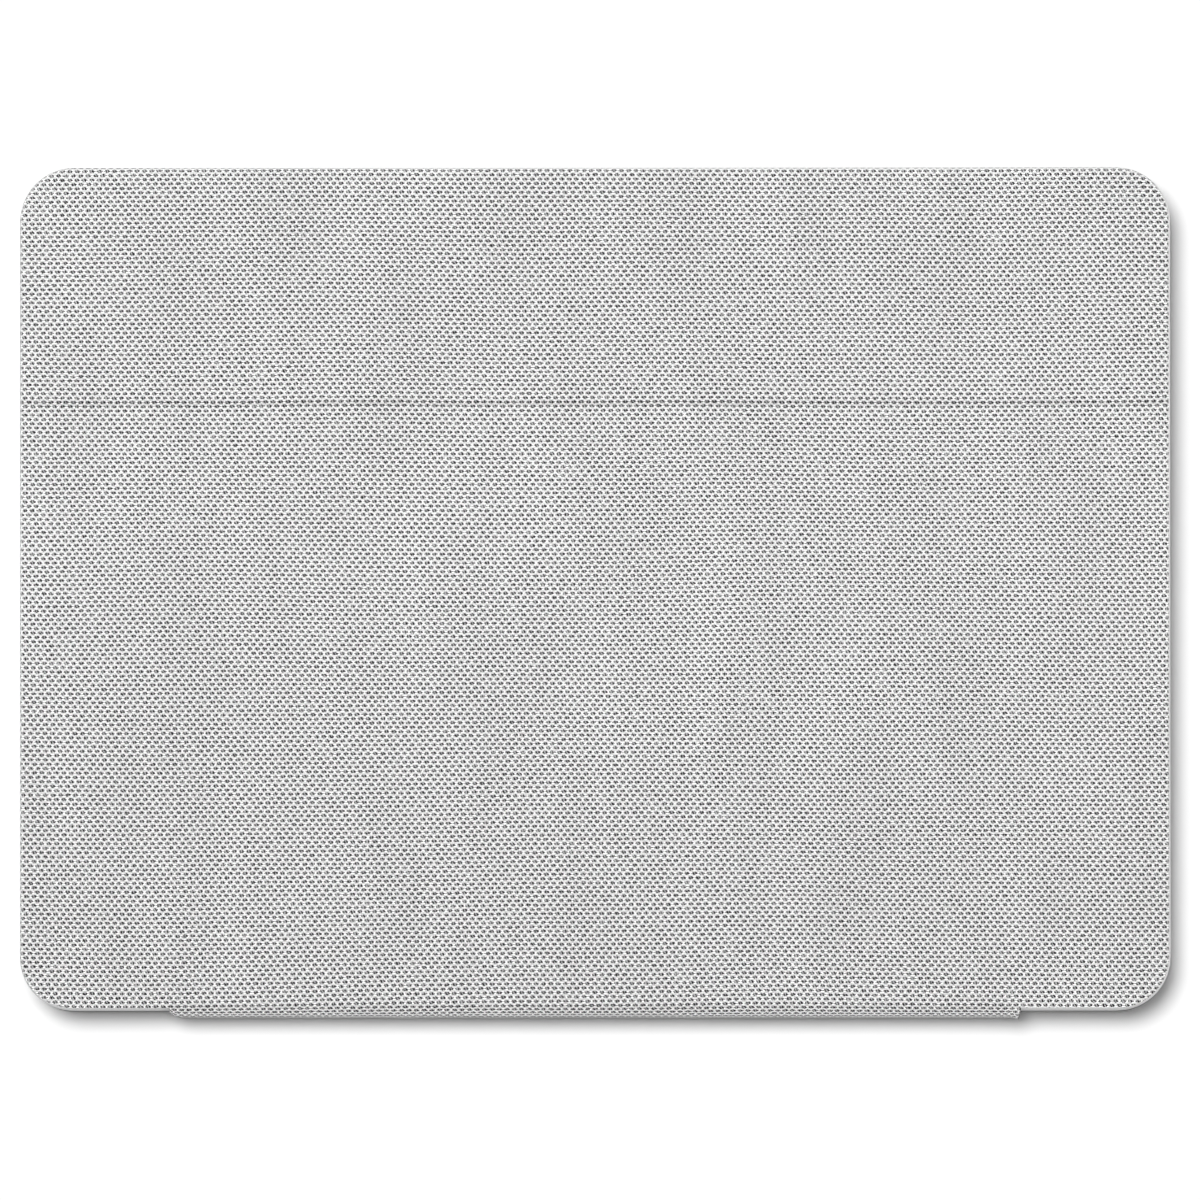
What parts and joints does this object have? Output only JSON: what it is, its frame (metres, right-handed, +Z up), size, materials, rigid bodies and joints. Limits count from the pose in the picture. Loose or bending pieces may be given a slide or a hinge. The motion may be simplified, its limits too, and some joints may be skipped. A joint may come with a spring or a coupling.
{
  "type": "tablet keyboard case",
  "caption": "Light grey woven-fabric folio case for a tablet, with a snap-in tray, a fold-back cover with a creased end flap, and a slim keyboard held inside the cover by magnets.",
  "frame": {"origin": "middle of the closed case's footprint, on the surface it lies on", "axes": "+X along the spine to the right seen from above, +Y from the spine to the free edge of the cover, +Z up through the closed case, out of the front cover"},
  "size_m": [0.252, 0.1862, 0.0181],
  "materials": {
    "outer_fabric": "woven, light grey",
    "inner_lining": "brushed microfibre",
    "stiffener_board": "glass-fibre sheet",
    "magnet": "nickel plated",
    "tray_plastic": "fine moulded texture",
    "button_plastic": "fine moulded texture",
    "camera_trim": "satin",
    "foot_pad": "brushed microfibre over foam",
    "keyboard_case": "fine moulded texture",
    "keyboard_deck": "satin",
    "keycap": "fine matte",
    "support_steel": "rolled",
    "membrane_film": "printed film",
    "dome_rubber": "silicone",
    "circuit_board": "solder mask",
    "battery_foil": "pouch foil",
    "connector_steel": "plated",
    "screw_steel": "black zinc",
    "light_pipe": "clear acrylic",
    "bumper_rubber": "moulded",
    "switch_plastic": "fine matte"
  },
  "bodies": {
    "back_shell": {"back_fabric": "outer_fabric", "back_board": "stiffener_board", "back_magnets": "magnet", "tablet_tray": "tray_plastic", "tray_lining": "inner_lining", "camera_ring": "camera_trim", "spine_lower_hinge": "outer_fabric"},
    "spine": {"spine_fabric": "outer_fabric", "spine_board": "stiffener_board", "spine_lining": "inner_lining", "spine_upper_hinge": "outer_fabric"},
    "cover_panel": {"cover_fabric": "outer_fabric", "cover_board": "stiffener_board", "cover_lining": "inner_lining", "cover_magnets": "magnet", "crease_hinge": "outer_fabric"},
    "cover_flap": {"flap_fabric": "outer_fabric", "flap_board": "stiffener_board", "flap_lining": "inner_lining", "flap_magnets": "magnet", "flap_foot_pad": "foot_pad"},
    "keyboard": {"keyboard_bottom_case": "keyboard_case", "keyboard_deck": "keyboard_deck", "support_plate": "support_steel", "membrane_circuit": "membrane_film", "dome_sheet": "dome_rubber", "main_board": "circuit_board", "battery_cell": "battery_foil", "charging_socket": "connector_steel", "membrane_tail": "membrane_film", "keyboard_magnets": "magnet", "case_screws": "screw_steel", "status_light": "light_pipe", "rubber_bumpers": "bumper_rubber"},
    "power_switch": {"power_switch": "switch_plastic"},
    "power_button": {"power_button": "button_plastic"},
    "volume_up_button": {"volume_up_button": "button_plastic"},
    "volume_down_button": {"volume_down_button": "button_plastic"},
    "function_keys": {"function_keys": "keycap"},
    "number_keys": {"number_keys": "keycap"},
    "backspace_key": {"backspace_key": "keycap"},
    "tab_key": {"tab_key": "keycap"},
    "upper_letter_keys": {"upper_letter_keys": "keycap"},
    "caps_lock_key": {"caps_lock_key": "keycap"},
    "home_letter_keys": {"home_letter_keys": "keycap"},
    "return_key": {"return_key": "keycap"},
    "left_shift_key": {"left_shift_key": "keycap"},
    "lower_letter_keys": {"lower_letter_keys": "keycap"},
    "right_shift_key": {"right_shift_key": "keycap"},
    "function_shift_key": {"function_shift_key": "keycap"},
    "control_key": {"control_key": "keycap"},
    "left_alt_key": {"left_alt_key": "keycap"},
    "left_command_key": {"left_command_key": "keycap"},
    "space_bar": {"space_bar": "keycap"},
    "right_command_key": {"right_command_key": "keycap"},
    "right_alt_key": {"right_alt_key": "keycap"},
    "left_arrow_key": {"left_arrow_key": "keycap"},
    "up_arrow_key": {"up_arrow_key": "keycap"},
    "down_arrow_key": {"down_arrow_key": "keycap"},
    "right_arrow_key": {"right_arrow_key": "keycap"}
  },
  "joints": [
    {"name": "spine_lower_fold", "type": "hinge", "parent": "back_shell", "child": "spine", "pos_m": [0, -0.0908, 0], "axis": [-1, 0, 0], "range_deg": [-75, 0], "deforming": ["spine_lower_hinge"]},
    {"name": "spine_upper_fold", "type": "hinge", "parent": "spine", "child": "cover_panel", "pos_m": [0, -0.0908, 0.0181], "axis": [1, 0, 0], "range_deg": [0, 175], "deforming": ["spine_upper_hinge"]},
    {"name": "flap_crease_fold", "type": "hinge", "parent": "cover_panel", "child": "cover_flap", "pos_m": [0, 0.04135, 0.0181], "axis": [1, 0, 0], "range_deg": [0, 160], "deforming": ["crease_hinge"]},
    {"name": "keyboard_release", "type": "slide", "parent": "cover_panel", "child": "keyboard", "axis": [1, 0, 0], "range_m": [0, 0.26]},
    {"name": "power_switch_slide", "type": "slide", "parent": "keyboard", "child": "power_switch", "axis": [0, 1, 0], "range_m": [0, 0.0025]},
    {"name": "power_button_press", "type": "slide", "parent": "back_shell", "child": "power_button", "axis": [1, 0, 0], "range_m": [0, 0.0005], "stiffness_N_per_m": 600, "springref_m": -0.0004},
    {"name": "volume_up_press", "type": "slide", "parent": "back_shell", "child": "volume_up_button", "axis": [0, -1, 0], "range_m": [0, 0.0005], "stiffness_N_per_m": 600, "springref_m": -0.0004},
    {"name": "volume_down_press", "type": "slide", "parent": "back_shell", "child": "volume_down_button", "axis": [0, -1, 0], "range_m": [0, 0.0005], "stiffness_N_per_m": 600, "springref_m": -0.0004},
    {"name": "function_keys_press", "type": "slide", "parent": "keyboard", "child": "function_keys", "axis": [0, 0, 1], "range_m": [0, 0.001], "stiffness_N_per_m": 400, "springref_m": -0.0005, "deforming": ["dome_sheet"]},
    {"name": "number_keys_press", "type": "slide", "parent": "keyboard", "child": "number_keys", "axis": [0, 0, 1], "range_m": [0, 0.001], "stiffness_N_per_m": 400, "springref_m": -0.0005, "deforming": ["dome_sheet"]},
    {"name": "backspace_key_press", "type": "slide", "parent": "keyboard", "child": "backspace_key", "axis": [0, 0, 1], "range_m": [0, 0.001], "stiffness_N_per_m": 400, "springref_m": -0.0005, "deforming": ["dome_sheet"]},
    {"name": "tab_key_press", "type": "slide", "parent": "keyboard", "child": "tab_key", "axis": [0, 0, 1], "range_m": [0, 0.001], "stiffness_N_per_m": 400, "springref_m": -0.0005, "deforming": ["dome_sheet"]},
    {"name": "upper_letter_keys_press", "type": "slide", "parent": "keyboard", "child": "upper_letter_keys", "axis": [0, 0, 1], "range_m": [0, 0.001], "stiffness_N_per_m": 400, "springref_m": -0.0005, "deforming": ["dome_sheet"]},
    {"name": "caps_lock_key_press", "type": "slide", "parent": "keyboard", "child": "caps_lock_key", "axis": [0, 0, 1], "range_m": [0, 0.001], "stiffness_N_per_m": 400, "springref_m": -0.0005, "deforming": ["dome_sheet"]},
    {"name": "home_letter_keys_press", "type": "slide", "parent": "keyboard", "child": "home_letter_keys", "axis": [0, 0, 1], "range_m": [0, 0.001], "stiffness_N_per_m": 400, "springref_m": -0.0005, "deforming": ["dome_sheet"]},
    {"name": "return_key_press", "type": "slide", "parent": "keyboard", "child": "return_key", "axis": [0, 0, 1], "range_m": [0, 0.001], "stiffness_N_per_m": 400, "springref_m": -0.0005, "deforming": ["dome_sheet"]},
    {"name": "left_shift_key_press", "type": "slide", "parent": "keyboard", "child": "left_shift_key", "axis": [0, 0, 1], "range_m": [0, 0.001], "stiffness_N_per_m": 400, "springref_m": -0.0005, "deforming": ["dome_sheet"]},
    {"name": "lower_letter_keys_press", "type": "slide", "parent": "keyboard", "child": "lower_letter_keys", "axis": [0, 0, 1], "range_m": [0, 0.001], "stiffness_N_per_m": 400, "springref_m": -0.0005, "deforming": ["dome_sheet"]},
    {"name": "right_shift_key_press", "type": "slide", "parent": "keyboard", "child": "right_shift_key", "axis": [0, 0, 1], "range_m": [0, 0.001], "stiffness_N_per_m": 400, "springref_m": -0.0005, "deforming": ["dome_sheet"]},
    {"name": "function_shift_key_press", "type": "slide", "parent": "keyboard", "child": "function_shift_key", "axis": [0, 0, 1], "range_m": [0, 0.001], "stiffness_N_per_m": 400, "springref_m": -0.0005, "deforming": ["dome_sheet"]},
    {"name": "control_key_press", "type": "slide", "parent": "keyboard", "child": "control_key", "axis": [0, 0, 1], "range_m": [0, 0.001], "stiffness_N_per_m": 400, "springref_m": -0.0005, "deforming": ["dome_sheet"]},
    {"name": "left_alt_key_press", "type": "slide", "parent": "keyboard", "child": "left_alt_key", "axis": [0, 0, 1], "range_m": [0, 0.001], "stiffness_N_per_m": 400, "springref_m": -0.0005, "deforming": ["dome_sheet"]},
    {"name": "left_command_key_press", "type": "slide", "parent": "keyboard", "child": "left_command_key", "axis": [0, 0, 1], "range_m": [0, 0.001], "stiffness_N_per_m": 400, "springref_m": -0.0005, "deforming": ["dome_sheet"]},
    {"name": "space_bar_press", "type": "slide", "parent": "keyboard", "child": "space_bar", "axis": [0, 0, 1], "range_m": [0, 0.001], "stiffness_N_per_m": 400, "springref_m": -0.0005, "deforming": ["dome_sheet"]},
    {"name": "right_command_key_press", "type": "slide", "parent": "keyboard", "child": "right_command_key", "axis": [0, 0, 1], "range_m": [0, 0.001], "stiffness_N_per_m": 400, "springref_m": -0.0005, "deforming": ["dome_sheet"]},
    {"name": "right_alt_key_press", "type": "slide", "parent": "keyboard", "child": "right_alt_key", "axis": [0, 0, 1], "range_m": [0, 0.001], "stiffness_N_per_m": 400, "springref_m": -0.0005, "deforming": ["dome_sheet"]},
    {"name": "left_arrow_key_press", "type": "slide", "parent": "keyboard", "child": "left_arrow_key", "axis": [0, 0, 1], "range_m": [0, 0.001], "stiffness_N_per_m": 400, "springref_m": -0.0005, "deforming": ["dome_sheet"]},
    {"name": "up_arrow_key_press", "type": "slide", "parent": "keyboard", "child": "up_arrow_key", "axis": [0, 0, 1], "range_m": [0, 0.001], "stiffness_N_per_m": 400, "springref_m": -0.0005, "deforming": ["dome_sheet"]},
    {"name": "down_arrow_key_press", "type": "slide", "parent": "keyboard", "child": "down_arrow_key", "axis": [0, 0, 1], "range_m": [0, 0.001], "stiffness_N_per_m": 400, "springref_m": -0.0005, "deforming": ["dome_sheet"]},
    {"name": "right_arrow_key_press", "type": "slide", "parent": "keyboard", "child": "right_arrow_key", "axis": [0, 0, 1], "range_m": [0, 0.001], "stiffness_N_per_m": 400, "springref_m": -0.0005, "deforming": ["dome_sheet"]}
  ]
}
